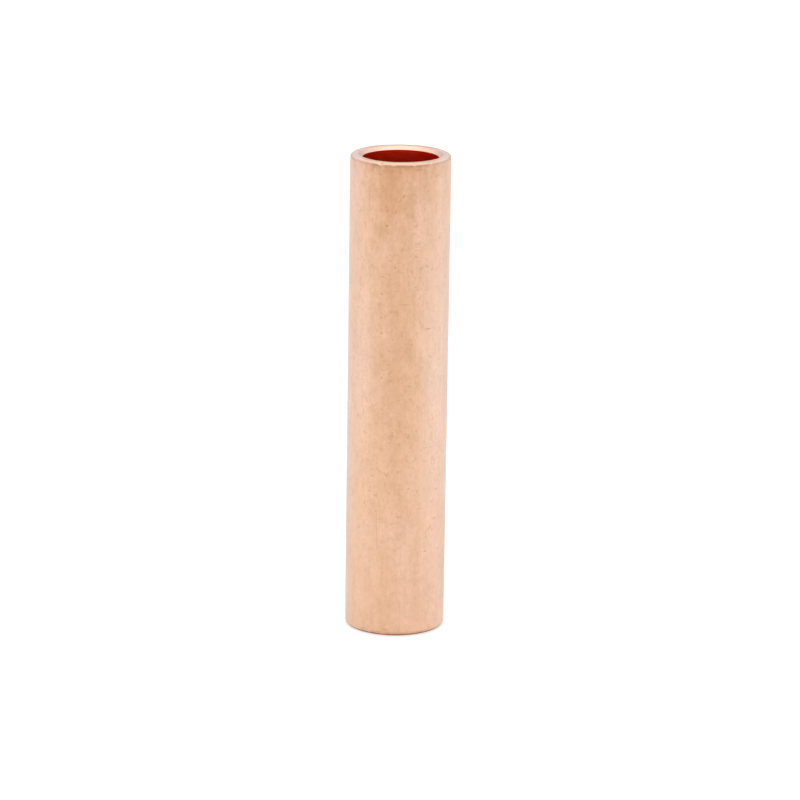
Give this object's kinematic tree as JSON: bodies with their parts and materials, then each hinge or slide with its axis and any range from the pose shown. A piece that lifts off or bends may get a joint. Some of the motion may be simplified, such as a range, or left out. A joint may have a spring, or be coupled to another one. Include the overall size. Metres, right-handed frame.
{
  "type": "butt splice connector",
  "caption": "Plain bare copper tube, open right through with rounded ends and chamfered mouths, that is crimped over two conductors to join them end to end.",
  "frame": {"origin": "centre of the lower end face, on the bore's axis", "axes": "+Z along the bore's axis, up to the upper end; the tube is round, so +X and +Y are free"},
  "size_m": [0.018, 0.018, 0.087],
  "materials": {
    "copper": "bare annealed copper, matte and pale, with fine drawing marks and small scuffs"
  },
  "bodies": {
    "root": {"splice_tube": "copper"}
  },
  "joints": []
}
